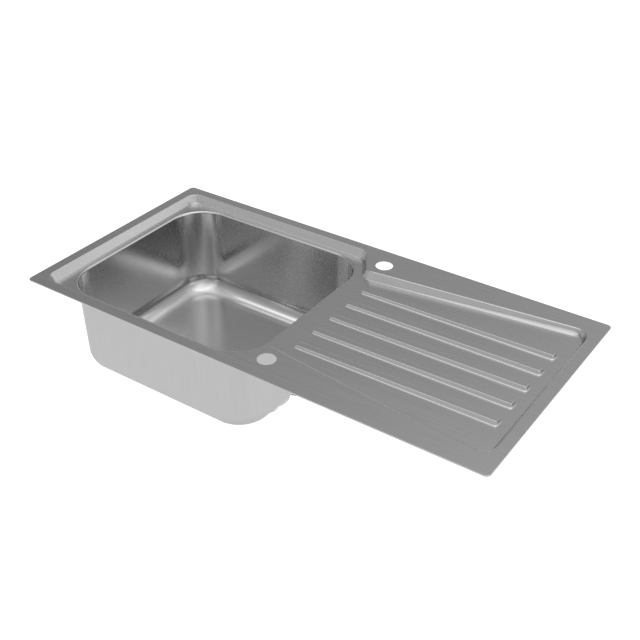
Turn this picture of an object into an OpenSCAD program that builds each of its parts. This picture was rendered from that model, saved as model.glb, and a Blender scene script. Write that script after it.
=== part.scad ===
/* [Sink top] */
// Overall width, along X
plate_w = 1000; // [940:1:1100]
// Overall depth, along Y
plate_d = 492; // [480:1:540]
// Thickness of the stainless sheet of the top and the bowl
sheet = 1; // [0.8:0.1:1.2]
// Height of the turned-down edge that stands on the worktop
lip_h = 2.2; // [2:0.1:3.5]
// Outer corner radius in plan
plate_r = 9; // [4:0.5:20]
// Width of the flat rim round the recess
rim = 22; // [20:0.5:26]
// Drop from the rim to the ledge round the bowl
ledge_drop = 16; // [13:0.5:18]
// Horizontal run of the step wall along the two long sides
side_run = 8.5; // [5:0.5:11]
// Horizontal run of the step wall at the two ends
end_run = 10; // [5:0.5:12]
// Corner radius of the recess at the bowl end
recess_r = 25; // [16:1:32]

/* [Drainboard] */
// Width of the drainboard recess where it leaves the bowl
near_w = 317; // [290:1:330]
// Width of the drainboard recess at its far end
far_w = 412; // [380:1:430]
// Distance along X from the bowl's wall to the narrow waist of the recess
waist_gap = 25; // [18:1:34]
// Length along X of the slanted shoulder between bowl recess and waist
shoulder_run = 38; // [30:1:48]
// Radius of the recess where the shoulder begins
shoulder_r = 25; // [12:1:28]
// Radius of the rim where the shoulder meets the drainboard
waist_r = 20; // [8:1:24]
// Corner radius at the far end of the drainboard
far_r = 28; // [16:1:36]
// Rise of the drainboard floor from the bowl to its far end
floor_rise = 5.5; // [2:0.1:8]

/* [Ribs] */
// Number of raised ribs
rib_count = 5; // [1:2:5]
// Distance between rib centres
rib_pitch = 55.3; // [45:0.1:58]
// Distance from the bowl's wall to the near ends of the ribs
rib_start = 48; // [40:1:80]
// Distance from the far ends of the ribs to the far edge of the recess
rib_end_gap = 27; // [24:1:60]
// Width of a rib at its foot
rib_w = 19.4; // [14:0.1:24]
// Height of a rib at its end by the bowl
rib_near_h = 4.5; // [3:0.1:6]
// Height of a rib at its far end
rib_far_h = 6.8; // [4:0.1:8]
// Slope of a rib's long sides, run to height
rib_lean_share = 0.6; // [0.3:0.05:0.7]
// Slope of a rib's end faces, run to height
rib_end_share = 0.45; // [0.2:0.05:0.8]

/* [Tap holes] */
// Diameter of the two tap holes
tap_hole_d = 35; // [32:0.5:37]
// Distance from the bowl's wall to the tap hole centres
tap_x = 45.5; // [40:0.5:60]
// Distance from the long edge to a tap hole's centre
tap_edge = 52.4; // [44:0.2:54]

/* [Bowl] */
// Inside length of the bowl at the top
bowl_l = 453; // [420:1:455]
// Inside width of the bowl at the top
bowl_w = 404; // [380:1:406]
// Distance from the recess wall's top at the left end to the bowl's inside
bowl_gap = 25; // [24:0.5:34]
// Depth from the rim to the bowl's floor beside the walls
bowl_depth = 209; // [160:1:230]
// Corner radius of the bowl's walls at the top
bowl_r = 75; // [66:1:90]
// Radius of the rolled edge between ledge and wall
roll_r = 4; // [2:0.5:6]
// Slope of the bowl's walls from upright, in degrees
draft = 1.5; // [0.5:0.1:2.5]
// Radius between the walls and the floor
fillet_r = 38; // [25:1:42]
// Fall of the floor towards the waste
floor_fall = 3; // [1:0.5:6]
// Distance from the right-hand wall to the waste hole's centre
drain_gap = 112; // [110:1:150]
// Thickness of the sound deadening pad under the floor
pad_t = 2; // [1:0.5:4]

/* [Waste] */
// Diameter of the hole in the bowl's floor
waste_hole_d = 90; // [86:0.5:92]
// Diameter of the strainer flange
flange_d = 113; // [110:0.5:114]
// Depth of the pressed seat for the flange
seat_drop = 3.5; // [3:0.1:5]
// Depth of the strainer cup below its seat
cup_h = 36; // [32:1:44]
// Wall thickness of the strainer cup and basket
cup_t = 1.2; // [1:0.1:1.5]
// Wall thickness of the plastic waste body
body_t = 3; // [2.5:0.1:3.5]
// Outside diameter of the outlet thread
outlet_d = 47.8; // [46:0.1:49]
// Length of the threaded outlet
outlet_len = 22; // [16:1:24]
// Thickness of the seal between bowl and waste body
waste_seal_t = 3; // [2:0.5:5]

/* [Overflow] */
// Depth of the overflow's centre below the rim
overflow_drop = 58; // [54:1:75]
// Distance of the overflow from the bowl's centre line, towards the back
overflow_y = 62; // [50:1:80]
// Diameter of the overflow's cover plate
cover_d = 56; // [50:1:60]
// Diameter of the overflow hole in the bowl's wall
overflow_hole_d = 32; // [28:1:34]
// Outside diameter of the overflow hose over its ribs
hose_d = 25; // [23:0.5:26]
// Bore of the overflow hose
hose_bore = 19; // [18:0.5:20]
// Number of ribs on the hose
hose_ribs = 34; // [12:1:60]

/* [Clamps] */
// Reach of a clamp claw from its pivot
claw_reach = 56; // [50:1:60]
// Travel of a claw up its screw
claw_rise = 17.5; // [8:0.5:20]
// Diameter of the clamp screws
clamp_screw_d = 6; // [5:0.5:6]
// Distance from the bowl's wall to the first pair of clamps on the long sides
clamp_near_gap = 90; // [86:1:100]
// Distance from the bowl's wall to the second pair of clamps on the long sides
clamp_far_gap = 230; // [180:1:300]
// Distance of the end clamps from the centre line
clamp_end_y = 120; // [90:1:130]

/* [Hidden] */
// Clamps in the order front, back, left, right, two of each
CLAMPS = 8;

// Overrun of a cut past the face that it goes through
over = 1;
// Clearance between pieces that move or slip over each other
slack = 0.2;
// Steps in one rounded corner of a pressed outline
CORNER_STEPS = 8;
// Parts of each straight side of the bowl's outline
SIDE_PARTS = 10;
// Steps in the bend from wall to floor of the bowl
BEND_STEPS = 7;
$fn = 64;

// Heights: zero is the worktop's surface, where the turned-down edge stands
top_z = lip_h;
ledge_z = top_z - ledge_drop;

// The bowl's right-hand inside wall is the place that the other lengths along X start from
wall_x = -plate_w / 2 + rim + bowl_gap + bowl_l;
waist_x = wall_x + waist_gap;
shoulder_x = waist_x - shoulder_run;
recess_end = plate_w / 2 - rim;
recess_half = plate_d / 2 - rim;
splay = (far_w - near_w) / 2 / (recess_end - waist_x);

// Sheet thickness measured level, on the leaning step walls
step_sheet = sheet * sqrt(1 + pow(side_run / ledge_drop, 2));
end_sheet = sheet * sqrt(1 + pow(end_run / ledge_drop, 2));

// Half the width of the drainboard recess at a place along X
function tray_half(x) = near_w / 2 + (x - waist_x) * splay;

// Height of the recess floor at a place along X: level round the bowl, rising along the drainboard
function floor_z(x) = ledge_z + max(0, x - waist_x) * floor_rise / (recess_end - waist_x);

function unit(v) = v / norm(v);
function flat(p) = [p.x, p.y];
function lift(points, z) = [for (p = points) [p.x, p.y, z]];

// Points of the arc of radius r that rounds the corner at b, between a and c
function corner_arc(a, b, c, r, steps) =
    let (
        u = unit(a - b),
        v = unit(c - b),
        half = acos(u * v) / 2,
        centre = b + unit(u + v) * r / sin(half),
        p = b + u * r / tan(half) - centre,
        q = b + v * r / tan(half) - centre,
        from = atan2(p.y, p.x),
        turn = (atan2(q.y, q.x) - from + 540) % 360 - 180
    )
    [for (k = [0:steps]) centre + r * [cos(from + turn * k / steps), sin(from + turn * k / steps)]];

// An outline from its corners, each given as x, y and radius, counter-clockwise
function rounded(c, steps) =
    let (n = len(c))
    [for (i = [0:n - 1])
        each corner_arc(flat(c[(i + n - 1) % n]), flat(c[i]), flat(c[(i + 1) % n]), c[i].z, steps)];

// The corners drawn in by a distance for each edge, edge i running from corner i to the next
function drawn_in(c, by) =
    let (n = len(c))
    [for (i = [0:n - 1])
        let (
            d = unit(flat(c[i]) - flat(c[(i + n - 1) % n])),
            e = unit(flat(c[(i + 1) % n]) - flat(c[i])),
            s = by[(i + n - 1) % n],
            t = by[i],
            bend = d.x * e.y - d.y * e.x,
            a = flat(c[i]) + [-d.y, d.x] * s,
            b = flat(c[i]) + [-e.y, e.x] * t,
            g = ((b.x - a.x) * e.y - (b.y - a.y) * e.x) / bend,
            p = a + d * g,
            r = c[i].z - sign(bend) * (s + t) / 2
        )
        [p.x, p.y, r]];

// Triangles that join each ring of n points to the next
function band_faces(rings, n) =
    [for (j = [0:rings - 2]) for (i = [0:n - 1])
        let (a = j * n + i, b = j * n + (i + 1) % n, c = a + n, d = b + n)
        each [[a, c, b], [b, c, d]]];

// A solid through a stack of rings, from the lowest up, closed at both ends
module stack_solid(rings) {
    n = len(rings[0]);
    m = len(rings);
    points = [for (r = rings) each r];
    bottom = [[for (i = [0:n - 1]) i]];
    top = [[for (i = [n - 1:-1:0]) (m - 1) * n + i]];
    polyhedron(points, concat(band_faces(m, n), bottom, top), convexity = 6);
}

// A solid through a closed loop of rings, as of a tube with a bore
module loop_solid(rings) {
    n = len(rings[0]);
    points = [for (r = concat(rings, [rings[0]])) each r];
    count = len(rings) * n;
    faces = [for (f = band_faces(len(rings) + 1, n)) [for (v = f) v % count]];
    polyhedron([for (i = [0:count - 1]) points[i]], faces, convexity = 8);
}

// The flat shape of a rectangle with round corners, its centre at the origin
module round_plate(w, d, r) {
    square([w - 2 * r, d], center = true);
    square([w, d - 2 * r], center = true);
    for (sx = [-1, 1])
        for (sy = [-1, 1])
            translate([sx * (w / 2 - r), sy * (d / 2 - r)])
                circle(r);
}

// Corners of the recess at the level of the rim
recess = [
    [recess_end, -far_w / 2, far_r],
    [recess_end, far_w / 2, far_r],
    [waist_x, near_w / 2, waist_r],
    [shoulder_x, recess_half, shoulder_r],
    [-recess_end, recess_half, recess_r],
    [-recess_end, -recess_half, recess_r],
    [shoulder_x, -recess_half, shoulder_r],
    [waist_x, -near_w / 2, waist_r]];
// How far each edge of the recess comes in for its whole drop, and the sheet's level thickness there
recess_runs = [end_run, side_run, side_run, side_run, end_run, side_run, side_run, side_run];
recess_sheets = [
    end_sheet, step_sheet, step_sheet, step_sheet,
    end_sheet, step_sheet, step_sheet, step_sheet,
];

// Outline of the recess at a depth below the rim, grown by a share of the sheet's thickness
function recess_ring(depth, sheet_share) =
    rounded(drawn_in(recess, recess_runs * depth / ledge_drop - recess_sheets * sheet_share), CORNER_STEPS);

// The space of the recess above its floor, or with grown = 1 the same space one sheet larger
module tray(grown) {
    low = ledge_drop + sheet + over;
    high = grown > 0 ? 0 : -over;
    floor_w = plate_w / 2 - plate_r;
    roof = top_z + 2 * over;
    down = grown * sheet;
    intersection() {
        stack_solid([
            lift(recess_ring(low, grown), top_z - low),
            lift(recess_ring(high, grown), top_z - high)]);
        rotate([90, 0, 0])
            linear_extrude(plate_d, center = true)
                polygon([
                    [-floor_w, ledge_z - down],
                    [waist_x, ledge_z - down],
                    [floor_w, floor_z(floor_w) - down],
                    [floor_w, roof],
                    [-floor_w, roof]]);
    }
}

// A raised rib: its skin, or with t = sheet the hollow that the pressing leaves under it
module rib(y, t) {
    x0 = wall_x + rib_start;
    x1 = recess_end - rib_end_gap;
    // Half width and end position at a height over the floor
    function half(h) = rib_w / 2 - rib_lean_share * h - t * sqrt(1 + pow(rib_lean_share, 2));
    function end_in(h) = rib_end_share * h + t * sqrt(1 + pow(rib_end_share, 2));
    function ring(near, far) = [
        [x0 + end_in(near), y - half(near), floor_z(x0) + near],
        [x1 - end_in(far), y - half(far), floor_z(x1) + far],
        [x1 - end_in(far), y + half(far), floor_z(x1) + far],
        [x0 + end_in(near), y + half(near), floor_z(x0) + near]];
    foot = -sheet - t;
    stack_solid([ring(foot, foot), ring(rib_near_h - t, rib_far_h - t)]);
}

// Corners of the bowl's opening, where the ledge begins to roll over
mouth_l = bowl_l + 2 * roll_r;
mouth_w = bowl_w + 2 * roll_r;
mouth_x = wall_x - bowl_l / 2;
function mouth_corners(s) = [
    [mouth_x + mouth_l / 2 - s, -mouth_w / 2 + s, bowl_r + roll_r - s],
    [mouth_x + mouth_l / 2 - s, mouth_w / 2 - s, bowl_r + roll_r - s],
    [mouth_x - mouth_l / 2 + s, mouth_w / 2 - s, bowl_r + roll_r - s],
    [mouth_x - mouth_l / 2 + s, -mouth_w / 2 + s, bowl_r + roll_r - s]];
// An outline of round corners with its straight stretches divided into equal parts
function divided(points, parts) =
    let (n = len(points), arc = CORNER_STEPS + 1)
    [for (i = [0:n - 1])
        each (i % arc < arc - 1 ? [points[i]] :
            [for (k = [0:parts - 1]) points[i] + (points[(i + 1) % n] - points[i]) * k / parts])];
// Outline of the bowl drawn in by s from its mouth
function bowl_ring(s) = divided(rounded(mouth_corners(s), CORNER_STEPS), SIDE_PARTS);

// Side view of the bowl's inside: how far in and how high, t is how far outside the skin it lies
bowl_z = top_z - bowl_depth;
bend_z = bowl_z + fillet_r;
bend_top = bend_z - fillet_r * sin(draft);
wall_top = ledge_z - roll_r * (1 - sin(draft));
wall_in = roll_r * cos(draft) + (wall_top - bend_top) * tan(draft);
bend_in = wall_in + fillet_r * cos(draft);
drain_x = wall_x - drain_gap;
seat_z = bowl_z - floor_fall - seat_drop;
function wall_at(z) = wall_x - (wall_top - z) * tan(draft) - roll_r * (cos(draft) - 1);
function bowl_side(t) = concat(
    [for (k = [0:3])
        let (a = k * (90 - draft) / 3)
        [(roll_r - t) * sin(a), ledge_z - roll_r + (roll_r - t) * cos(a)]],
    [for (k = [0:BEND_STEPS])
        let (a = draft + k * (90 - draft) / BEND_STEPS)
        [bend_in - (fillet_r + t) * cos(a), bend_z - (fillet_r + t) * sin(a)]]);
// A ring round the waste, its points in line with those of the bowl's outline
function drain_ring(r, z) =
    let (c = [drain_x, 0])
    [for (p = bowl_ring(bend_in)) let (q = c + r * unit(p - c)) [q.x, q.y, z]];
seat_r = flange_d / 2 + sheet;
function bowl_skin(t) = concat(
    [for (s = bowl_side(t)) lift(bowl_ring(s.x), s.y)],
    [drain_ring(seat_r + seat_drop + t, bowl_z - floor_fall - t),
     drain_ring(seat_r + t, seat_z - t)]);

// The top: one sheet with its recess, ribs and turned-down edge, holed for the bowl and two taps
module sink_top() color("silver")
    difference() {
        union() {
            difference() {
                union() {
                    translate([0, 0, top_z - sheet])
                        linear_extrude(sheet)
                            round_plate(plate_w, plate_d, plate_r);
                    linear_extrude(lip_h)
                        difference() {
                            round_plate(plate_w, plate_d, plate_r);
                            round_plate(plate_w - 2 * sheet, plate_d - 2 * sheet, plate_r - sheet);
                        }
                    tray(1);
                }
                tray(0);
            }
            for (k = [0:rib_count - 1])
                rib((k - (rib_count - 1) / 2) * rib_pitch, 0);
        }
        for (k = [0:rib_count - 1])
            rib((k - (rib_count - 1) / 2) * rib_pitch, sheet);
        translate([0, 0, ledge_z - sheet - over])
            linear_extrude(ledge_drop)
                polygon(bowl_ring(0));
        for (sy = [-1, 1])
            translate([wall_x + tap_x, sy * (plate_d / 2 - tap_edge), top_z - sheet - over])
                cylinder(h = sheet + 2 * over, d = tap_hole_d);
    }

// The drawn bowl, butt-welded to the top all round its mouth
module bowl() color("gainsboro")
    difference() {
        loop_solid(concat(
            bowl_skin(0),
            [drain_ring(waste_hole_d / 4, seat_z), drain_ring(waste_hole_d / 4, seat_z - sheet)],
            [for (k = [len(bowl_skin(0)) - 1:-1:0]) bowl_skin(sheet)[k]]));
        translate([drain_x, 0, seat_z - sheet - over])
            cylinder(h = sheet + 2 * over, d = waste_hole_d);
        at_overflow()
            translate([0, 0, -sheet - over])
                cylinder(h = sheet + 2 * over, d = overflow_hole_d);
    }

// Foam strip stuck under the rim, just inside the turned-down edge
seal_w = 8;
module rim_seal() color("dimgray")
    linear_extrude(lip_h - sheet)
        difference() {
            round_plate(plate_w - 2 * sheet, plate_d - 2 * sheet, plate_r - sheet);
            round_plate(plate_w - 2 * (sheet + seal_w), plate_d - 2 * (sheet + seal_w), plate_r / 4);
        }

// Damping pad under the bowl's floor, beside the waste, on a thin bed of glue
pad_glue_t = 0.3;
pad_side_share = 0.64;
pad_edge = bend_in + roll_r;
pad_x0 = wall_x - bowl_l + pad_edge;
pad_x1 = drain_x - seat_r - 4 * pad_t;
module sound_pad() color("slategray")
    intersection() {
        translate([(pad_x0 + pad_x1) / 2, 0, seat_z - seat_drop - 2 * pad_t])
            linear_extrude(floor_fall + 3 * seat_drop + 4 * pad_t)
                round_plate(pad_x1 - pad_x0, bowl_w * pad_side_share, pad_edge / 2);
        loop_solid(concat(
            bowl_skin(sheet + pad_glue_t),
            [for (k = [len(bowl_skin(0)) - 1:-1:0]) bowl_skin(sheet + pad_glue_t + pad_t)[k]]));
    }

// Strainer: heights are measured from the seat that is pressed in the bowl's floor
flange_seal_t = 1;
flange_t = 1.5;
seal_inset = 1;
cup_gap = 1.5;
cup_r = waste_hole_d / 2 - cup_gap;
cone_drop = 5;
cone_run = 2.2;
well_r = 10;
well_drop = 5;
waste_screw_d = 6;
module at_waste() translate([drain_x, 0, seat_z]) children();

module flange_seal() color("black")
    at_waste()
        difference() {
            cylinder(h = flange_seal_t, r = flange_d / 2 - seal_inset);
            translate([0, 0, -over])
                cylinder(h = flange_seal_t + 2 * over, r = waste_hole_d / 2 + seal_inset);
        }

// Openings in the bottom of the strainer cup
port_r = 8.5;
port_ring = 24;
port_count = 6;
lip_top = flange_seal_t + flange_t;
module strainer_flange() color("silver")
    at_waste()
        difference() {
            rotate_extrude()
                polygon([
                    [flange_d / 2, flange_seal_t],
                    [flange_d / 2, lip_top],
                    [cup_r - cup_t + cone_run, lip_top],
                    [cup_r - cup_t, lip_top - cone_drop],
                    [cup_r - cup_t, -cup_h + cup_t],
                    [well_r, -cup_h + cup_t],
                    [well_r, -cup_h - well_drop + cup_t],
                    [0, -cup_h - well_drop + cup_t],
                    [0, -cup_h - well_drop],
                    [well_r + cup_t, -cup_h - well_drop],
                    [well_r + cup_t, -cup_h],
                    [cup_r, -cup_h],
                    [cup_r, lip_top - cone_drop],
                    [cup_r + cone_run * (1 - flange_t / cone_drop), flange_seal_t]]);
            translate([0, 0, -cup_h - well_drop - over])
                cylinder(h = cup_t + 2 * over, d = waste_screw_d + slack);
            for (k = [0:port_count - 1])
                rotate([0, 0, k * 360 / port_count])
                    translate([port_ring, 0, -cup_h - over])
                        cylinder(h = cup_t + 2 * over, r = port_r);
        }

// Lift-out basket with a perforated wall and floor
stopper_t = 4;
basket_gap = 1.3;
basket_taper = 4;
basket_lip = 1.6;
basket_sink_share = 0.7;
basket_floor = -cup_h + cup_t + slack + stopper_t;
basket_r = cup_r - cup_t - basket_gap;
basket_low_r = basket_r - basket_taper;
basket_rim = lip_top - cone_drop * basket_sink_share;
perf_r = 2;
perf_ring_shares = [0.32, 0.56, 0.8];
PERF_COUNTS = [8, 14, 20];
WALL_PERFS = 16;
module strainer_basket() color("gainsboro")
    at_waste()
        difference() {
            rotate_extrude()
                polygon([
                    [basket_r + basket_lip, basket_rim],
                    [basket_r + basket_lip, basket_rim + cup_t],
                    [basket_r - cup_t, basket_rim + cup_t],
                    [basket_low_r - cup_t, basket_floor + cup_t],
                    [knob_rod + slack, basket_floor + cup_t],
                    [knob_rod + slack, basket_floor],
                    [basket_low_r, basket_floor],
                    [basket_r, basket_rim]]);
            for (i = [0:len(PERF_COUNTS) - 1])
                for (k = [0:PERF_COUNTS[i] - 1])
                    rotate([0, 0, k * 360 / PERF_COUNTS[i]])
                        translate([basket_low_r * perf_ring_shares[i], 0, basket_floor - over])
                            cylinder(h = cup_t + 2 * over, r = perf_r);
            for (k = [0:WALL_PERFS - 1])
                rotate([0, 0, k * 360 / WALL_PERFS])
                    translate([basket_low_r, 0, (basket_floor + basket_rim) / 2])
                        rotate([0, 90, 0])
                            cylinder(h = 6 * cup_t, r = 2 * perf_r, center = true);
        }

// Rubber stopper under the basket, which closes the ports of the cup
knob_rod = 3;
stopper_lap = 1.5;
stopper_r = port_ring + port_r + stopper_lap;
module basket_stopper() color("black")
    at_waste()
        rotate_extrude()
            polygon([
                [0, basket_floor - stopper_t],
                [stopper_r, basket_floor - stopper_t],
                [stopper_r, basket_floor - stopper_t / 2],
                [stopper_r - 2 * stopper_lap, basket_floor],
                [0, basket_floor]]);

// Knob and rod that carry the basket
module basket_knob() color("silver")
    at_waste()
        rotate_extrude()
            polygon([
                [0, basket_floor],
                [knob_rod, basket_floor],
                [knob_rod, basket_floor + cup_t + slack],
                [2 * knob_rod, basket_floor + cup_t + slack],
                [2 * knob_rod, basket_floor + 3 * cup_t],
                [knob_rod, basket_floor + 4 * cup_t],
                [knob_rod, -3 * knob_rod],
                [3 * knob_rod, -2 * knob_rod],
                [3 * knob_rod, -knob_rod],
                [2.4 * knob_rod, -knob_rod / 3],
                [0, 0]]);

// Thick rubber ring between the bowl and the waste body
module waste_seal() color("black")
    at_waste()
        translate([0, 0, -sheet - waste_seal_t])
            difference() {
                cylinder(h = waste_seal_t, r = flange_d / 2);
                translate([0, 0, -over])
                    cylinder(h = waste_seal_t + 2 * over, r = waste_hole_d / 2 + seal_inset);
            }

// Plastic waste body: a cup round the strainer, a screw boss on webs, an outlet and an overflow inlet
body_room = 7;
boss_h = 12;
boss_r = 8;
cone_h = 10;
rib_below = 1;
tube_t = 2;
inlet_reach = 24;
// How deep in the wall the inlet's root lies, against the wall's thickness
root_share = 0.9;
body_top = -sheet - waste_seal_t;
body_r = cup_r + body_room;
boss_top = -cup_h - well_drop - slack;
body_low = boss_top - boss_h;
cone_low = body_low - cone_h;
inlet_z = body_top - hose_d;
inlet_r = (hose_bore - slack) / 2;
inlet_len = body_r + inlet_reach;
nut_t = 2.4;
grip_r = 1.6;
overflow_seal_t = 2.5;
// The upper hose nut stands just clear of the flange of the overflow body
overflow_out = sheet + overflow_seal_t + body_t + hose_d / 2 + 2 * slack + nut_t + grip_r;
inlet_turn = atan2(overflow_y, wall_at(top_z - overflow_drop) + overflow_out - drain_x);
module waste_body() color("whitesmoke")
    at_waste()
        difference() {
            union() {
                rotate_extrude()
                    polygon([
                        [flange_d / 2, body_top],
                        [waste_hole_d / 2 + seal_inset, body_top],
                        [body_r - body_t, body_top - body_t],
                        [body_r - body_t, body_low],
                        [outlet_d / 2 - body_t, cone_low],
                        [outlet_d / 2 - body_t, cone_low - outlet_len],
                        [outlet_d / 2, cone_low - outlet_len],
                        [outlet_d / 2, cone_low],
                        [body_r, body_low],
                        [body_r, body_top - body_t - rib_below],
                        [flange_d / 2, body_top - body_t - rib_below]]);
                rotate([0, 0, inlet_turn])
                    translate([body_r - body_t * root_share, 0, inlet_z])
                        rotate([0, 90, 0])
                            hose_tail(inlet_len - body_r + body_t * root_share);
                translate([0, 0, body_low])
                    cylinder(h = boss_top - body_low, r = boss_r);
                for (k = [0:2])
                    rotate([0, 0, k * 120])
                        translate([0, -body_t / 2, body_low + rib_below])
                            cube([body_r - body_t / 2, body_t, boss_h - 2 * rib_below]);
            }
            translate([0, 0, body_low - over])
                cylinder(h = boss_top - body_low + 2 * over, d = waste_screw_d + slack);
            rotate([0, 0, inlet_turn])
                translate([body_r - 2 * body_t, 0, inlet_z])
                    rotate([0, 90, 0])
                        cylinder(h = inlet_len - body_r + 2 * body_t + over, r = inlet_r - tube_t);
        }

// A tube end for the hose, with the collar behind it that the hose nut is turned onto
slip = 14;
slip_stop = 1;
module hose_tail(length) {
    cylinder(h = length, r = inlet_r);
    cylinder(h = length - slip - slip_stop, d = hose_d);
}

// Screw that pulls the waste body up against the bowl
waste_head_t = 3;
head_room = 3;
slot_t = 1.5;
module waste_screw() color("silver")
    at_waste() {
        head_z = -cup_h - well_drop + cup_t;
        translate([0, 0, head_z])
            difference() {
                cylinder(h = waste_head_t, r = well_r - head_room);
                translate([0, 0, waste_head_t])
                    cube([2 * well_r, slot_t, waste_head_t], center = true);
            }
        translate([0, 0, body_low])
            cylinder(h = head_z - body_low + slack, d = waste_screw_d);
    }

// Overflow: its own frame has +Z into the bowl, square to the wall, and +X up the wall
overflow_z = top_z - overflow_drop;
module at_overflow()
    translate([wall_at(overflow_z), overflow_y, overflow_z])
        rotate([0, draft - 90, 0])
            children();

cover_t = 1.2;
dome = 3;
slot_w = 5;
SLOTS = 8;
screw_d = 5;
module overflow_cover() color("silver")
    at_overflow()
        difference() {
            rotate_extrude()
                polygon([
                    [0, dome],
                    [cover_d / 2 - 2 * dome, dome],
                    [cover_d / 2, 0],
                    [cover_d / 2, cover_t],
                    [cover_d / 2 - 2 * dome, dome + cover_t],
                    [0, dome + cover_t]]);
            translate([0, 0, dome - over])
                cylinder(h = cover_t + 2 * over, d = screw_d + 2 * slack);
            for (k = [0:SLOTS - 1])
                rotate([0, 0, (k + 0.5) * 360 / SLOTS])
                    translate([cover_d / 7, -slot_w / 2, dome - over])
                        cube([cover_d / 6, slot_w, cover_t + 2 * over]);
        }

screw_head = 2.4;
screw_grip = 6;
module overflow_screw() color("silver")
    at_overflow() {
        translate([0, 0, dome + cover_t])
            difference() {
                cylinder(h = screw_head, r = screw_d);
                translate([0, 0, screw_head])
                    cube([3 * screw_d, slot_t, screw_head], center = true);
            }
        translate([0, 0, -overflow_boss - screw_grip])
            cylinder(h = overflow_boss + screw_grip + dome + cover_t + slack / 2, d = screw_d);
    }

overflow_boss = 12;
module overflow_seal() color("black")
    at_overflow()
        translate([0, 0, -sheet - overflow_seal_t])
            difference() {
                cylinder(h = overflow_seal_t, r = cover_d / 2 - 2 * seal_inset);
                translate([0, 0, -over])
                    cylinder(h = overflow_seal_t + 2 * over, r = overflow_hole_d / 2 + seal_inset);
            }

// Plastic overflow body behind the wall: a flange, a cup, a screw boss and a spout that points down
overflow_cup_r = 22;
overflow_cup_t = 2.5;
cup_back = -overflow_out - inlet_r - overflow_cup_t - seal_inset;
spout_len = 42;
module overflow_body() color("whitesmoke")
    at_overflow()
        difference() {
            union() {
                difference() {
                    union() {
                        translate([0, 0, -sheet - overflow_seal_t - body_t])
                            cylinder(h = body_t, r = cover_d / 2 - seal_inset);
                        translate([0, 0, cup_back])
                            cylinder(h = -cup_back - sheet - overflow_seal_t - body_t / 2, r = overflow_cup_r);
                        translate([-overflow_cup_r / 2, 0, -overflow_out])
                            rotate([0, -90, 0])
                                hose_tail(spout_len - overflow_cup_r / 2);
                    }
                    translate([0, 0, cup_back + overflow_cup_t])
                        cylinder(h = -cup_back, r = overflow_cup_r - overflow_cup_t);
                    translate([-overflow_cup_r / 2, 0, -overflow_out])
                        rotate([0, -90, 0])
                            cylinder(h = spout_len, r = inlet_r - tube_t);
                }
                translate([0, 0, cup_back + overflow_cup_t / 2])
                    cylinder(h = -overflow_boss - cup_back - overflow_cup_t / 2, r = screw_d);
            }
            translate([0, 0, -overflow_boss - screw_grip - over])
                cylinder(h = screw_grip + 2 * over, d = screw_d + slack);
        }

// The hose slips over the spout above and the inlet below, and turns one bend between them
rib_depth = 1.6;
hose_root = hose_d / 2 - rib_depth;
spout_dir = [-sin(draft), 0, -cos(draft)];
wall_dir = [cos(draft), 0, -sin(draft)];
inlet_dir = [cos(inlet_turn), sin(inlet_turn), 0];
spout_from = [wall_at(overflow_z), overflow_y, overflow_z] + wall_dir * overflow_out;
hose_top = spout_from + spout_dir * (spout_len - slip);
hose_low = [drain_x, 0, seat_z + inlet_z] + inlet_dir * (inlet_len - slip);
// The bend starts as far above the inlet as it reaches sideways, so that it is nearly a quarter circle
bend_to = hose_low + inlet_dir * hose_d;
bend_reach = norm(flat(bend_to) - flat(hose_top));
hose_straight = max(hose_d, hose_top.z - bend_to.z - bend_reach);
bend_from = hose_top + spout_dir * hose_straight;
quarter_pull_share = 0.55;
bend_pull = bend_reach * quarter_pull_share;
function hose_bend(t) =
    bend_from * pow(1 - t, 3)
    + (bend_from + spout_dir * bend_pull) * 3 * t * pow(1 - t, 2)
    + (bend_to + inlet_dir * bend_pull) * 3 * t * t * (1 - t)
    + bend_to * pow(t, 3);
// Distance along the bend for evenly spaced values of t, read backwards to space the ribs evenly
BEND_PARTS = 40;
bend_runs = [for (k = 0, s = 0; k <= BEND_PARTS;
    s = s + norm(hose_bend((k + 1) / BEND_PARTS) - hose_bend(k / BEND_PARTS)), k = k + 1)
    [s, k / BEND_PARTS]];
bend_length = bend_runs[BEND_PARTS][0];
// Middle line of the hose at a distance from its upper end
hose_length = hose_straight + bend_length + hose_d;
function hose_point(s) =
    s < hose_straight ? hose_top + spout_dir * s :
    s > hose_straight + bend_length ? bend_to - inlet_dir * (s - hose_straight - bend_length) :
    hose_bend(lookup(s - hose_straight, bend_runs));
HOSE_SIDES = 8;
hose_side_dir = unit(cross(spout_dir, inlet_dir));
function hose_ring(s, r) =
    let (
        step = hose_root / 10,
        d = unit(hose_point(s + step) - hose_point(s - step)),
        u = unit(cross(d, hose_side_dir)),
        v = cross(d, u),
        c = hose_point(s)
    )
    [for (k = [0:HOSE_SIDES - 1]) c + r * (u * cos(k * 360 / HOSE_SIDES) + v * sin(k * 360 / HOSE_SIDES))];
// Plain cuffs as long as the hose is wide at both ends, ribs between them
rib_step = (hose_length - 2 * hose_d) / hose_ribs;
hose_flat_share = cos(180 / HOSE_SIDES);
module overflow_hose() color("lightgray")
    loop_solid(concat(
        [for (s = [0, hose_d]) hose_ring(s, hose_d / 2)],
        [for (k = [0:hose_ribs - 1]) each [
            hose_ring(hose_d + (k + 0.25) * rib_step, hose_root),
            hose_ring(hose_d + (k + 0.75) * rib_step, hose_d / 2)]],
        [for (s = [hose_length - hose_d, hose_length]) hose_ring(s, hose_d / 2)],
        [hose_ring(hose_length, hose_bore / 2 / hose_flat_share)],
        [for (k = [hose_ribs:-1:0]) hose_ring(hose_d + k * rib_step, hose_bore / 2 / hose_flat_share)],
        [hose_ring(0, hose_bore / 2 / hose_flat_share)]));

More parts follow.
